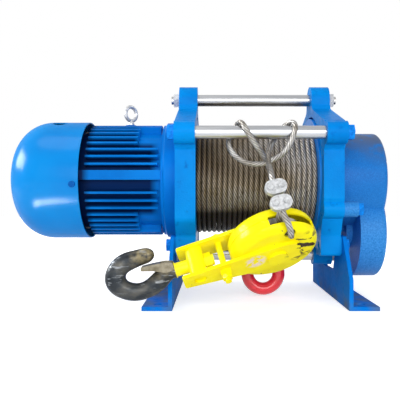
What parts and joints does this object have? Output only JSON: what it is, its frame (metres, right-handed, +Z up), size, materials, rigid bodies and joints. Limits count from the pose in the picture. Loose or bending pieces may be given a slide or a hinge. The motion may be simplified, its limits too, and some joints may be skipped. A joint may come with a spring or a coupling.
{
  "type": "electric winch",
  "caption": "Electric rope winch: finned motor, rope drum between cast end plates, two-lobed gear case, angle feet and a hook block on the rope.",
  "frame": {"origin": "centre of the foot bolt pattern, on the floor under the middle of the drum", "axes": "+X along the drum from motor to gear case, +Y to the back, +Z up"},
  "size_m": [0.6189, 0.3824, 0.358],
  "materials": {
    "blue_gloss": "gloss blue paint",
    "blue_frame": "satin blue paint",
    "blue_cast": "blue paint on a rough casting",
    "rod_steel": "bright drawn bar",
    "zinc": "white zinc plate",
    "rope_steel": "greased stranded wire",
    "tail_steel": "bright stranded wire",
    "yellow_paint": "worn yellow paint",
    "hook_forging": "dark forged steel, worn",
    "latch_sheet": "dull pressed sheet",
    "red_paint": "gloss red paint",
    "bearing_steel": "ground steel",
    "gear_steel": "cut steel",
    "lamination": "stacked sheet",
    "copper": "enamelled copper",
    "fan_plastic": "matt black",
    "friction": "friction lining",
    "black_plastic": "matt black"
  },
  "bodies": {
    "frame": {"gear_end_plate": "blue_cast", "motor_end_plate": "blue_cast", "gear_side_foot": "blue_cast", "motor_side_foot": "blue_cast", "gear_housing": "blue_cast", "gear_cover": "blue_cast", "motor_end_shield": "blue_frame", "motor_frame": "blue_frame", "rear_end_shield": "blue_frame", "fan_cowl": "blue_gloss", "terminal_box": "blue_gloss", "terminal_lid": "blue_gloss", "tie_rod_bolts": "blue_gloss", "top_tie_rod": "rod_steel", "front_tie_rod": "rod_steel", "back_tie_rod": "rod_steel", "bottom_tie_rod": "rod_steel", "tie_rod_nuts": "zinc", "foot_bolts": "zinc", "housing_bolts": "blue_cast", "cover_screws": "zinc", "cowl_screws": "blue_gloss", "oil_plug": "zinc", "motor_eye_bolt": "zinc", "rope_clip_saddles": "zinc", "rope_clip_ubolts": "zinc", "rope_hitch": "tail_steel", "motor_front_bearing": "bearing_steel", "motor_rear_bearing": "bearing_steel", "drum_bearing_gear_side": "bearing_steel", "drum_bearing_motor_side": "bearing_steel", "pinion_bearing": "bearing_steel", "layshaft_bearings": "bearing_steel", "stator_core": "lamination", "stator_winding": "copper", "brake_magnet": "lamination", "cover_gasket": "blue_cast", "cable_gland": "black_plastic"},
    "drum": {"drum": "blue_cast", "wound_rope": "rope_steel", "drum_gear": "gear_steel"},
    "layshaft": {"layshaft": "gear_steel", "layshaft_gear": "gear_steel"},
    "motor_shaft": {"motor_shaft": "gear_steel", "rotor": "lamination", "cooling_fan": "fan_plastic", "brake_disc": "friction"},
    "brake_armature": {"brake_armature": "lamination"},
    "hook_block": {"near_guard": "yellow_paint", "far_guard": "yellow_paint", "near_strap": "yellow_paint", "far_strap": "yellow_paint", "strap_bolt": "yellow_paint", "sheave_pin": "yellow_paint", "crosshead": "yellow_paint"},
    "sheave": {"sheave": "gear_steel"},
    "hook": {"hook": "hook_forging", "hook_nut": "yellow_paint"},
    "safety_latch": {"safety_latch": "latch_sheet"},
    "anchor_eye": {"anchor_eye": "red_paint"}
  },
  "joints": [
    {"name": "drum_spin", "type": "hinge", "parent": "frame", "child": "drum", "pos_m": [0, 0, 0.197], "axis": [1, 0, 0], "continuous": true},
    {"name": "layshaft_spin", "type": "hinge", "parent": "frame", "child": "layshaft", "pos_m": [0.18, 0, 0.109], "axis": [1, 0, 0], "continuous": true},
    {"name": "motor_spin", "type": "hinge", "parent": "frame", "child": "motor_shaft", "pos_m": [0, 0, 0.197], "axis": [1, 0, 0], "continuous": true},
    {"name": "brake_release", "type": "slide", "parent": "frame", "child": "brake_armature", "axis": [-1, 0, 0], "range_m": [0, 0.0005], "stiffness_N_per_m": 4000, "springref_m": -0.002},
    {"name": "block_swing", "type": "hinge", "parent": "frame", "child": "hook_block", "pos_m": [0.02906, -0.18794, 0.13334], "axis": [-0.2401, 0.5802, 0.7783], "range_deg": [0, 16]},
    {"name": "sheave_spin", "type": "hinge", "parent": "hook_block", "child": "sheave", "pos_m": [0.0153, -0.1512, 0.1017], "axis": [0.2401, -0.5802, -0.7783], "continuous": true},
    {"name": "hook_swivel", "type": "hinge", "parent": "hook_block", "child": "hook", "pos_m": [0.0153, -0.1512, 0.1017], "axis": [0.9621, 0.0353, 0.2705], "continuous": true},
    {"name": "latch_open", "type": "hinge", "parent": "hook", "child": "safety_latch", "pos_m": [-0.13348, -0.15666, 0.06818], "axis": [0.0367, -0.9993, 0], "range_deg": [0, 16], "stiffness_Nm_per_rad": 0.05, "springref_deg": -28.65},
    {"name": "anchor_eye_swing", "type": "hinge", "parent": "frame", "child": "anchor_eye", "pos_m": [0.014, -0.026, 0.072], "axis": [1, 0, 0], "range_deg": [-50, 50]}
  ],
  "couplings": [
    {"joint": "layshaft_spin", "follows": "drum_spin", "ratio": -3.4},
    {"joint": "motor_spin", "follows": "drum_spin", "ratio": 9.0667}
  ]
}
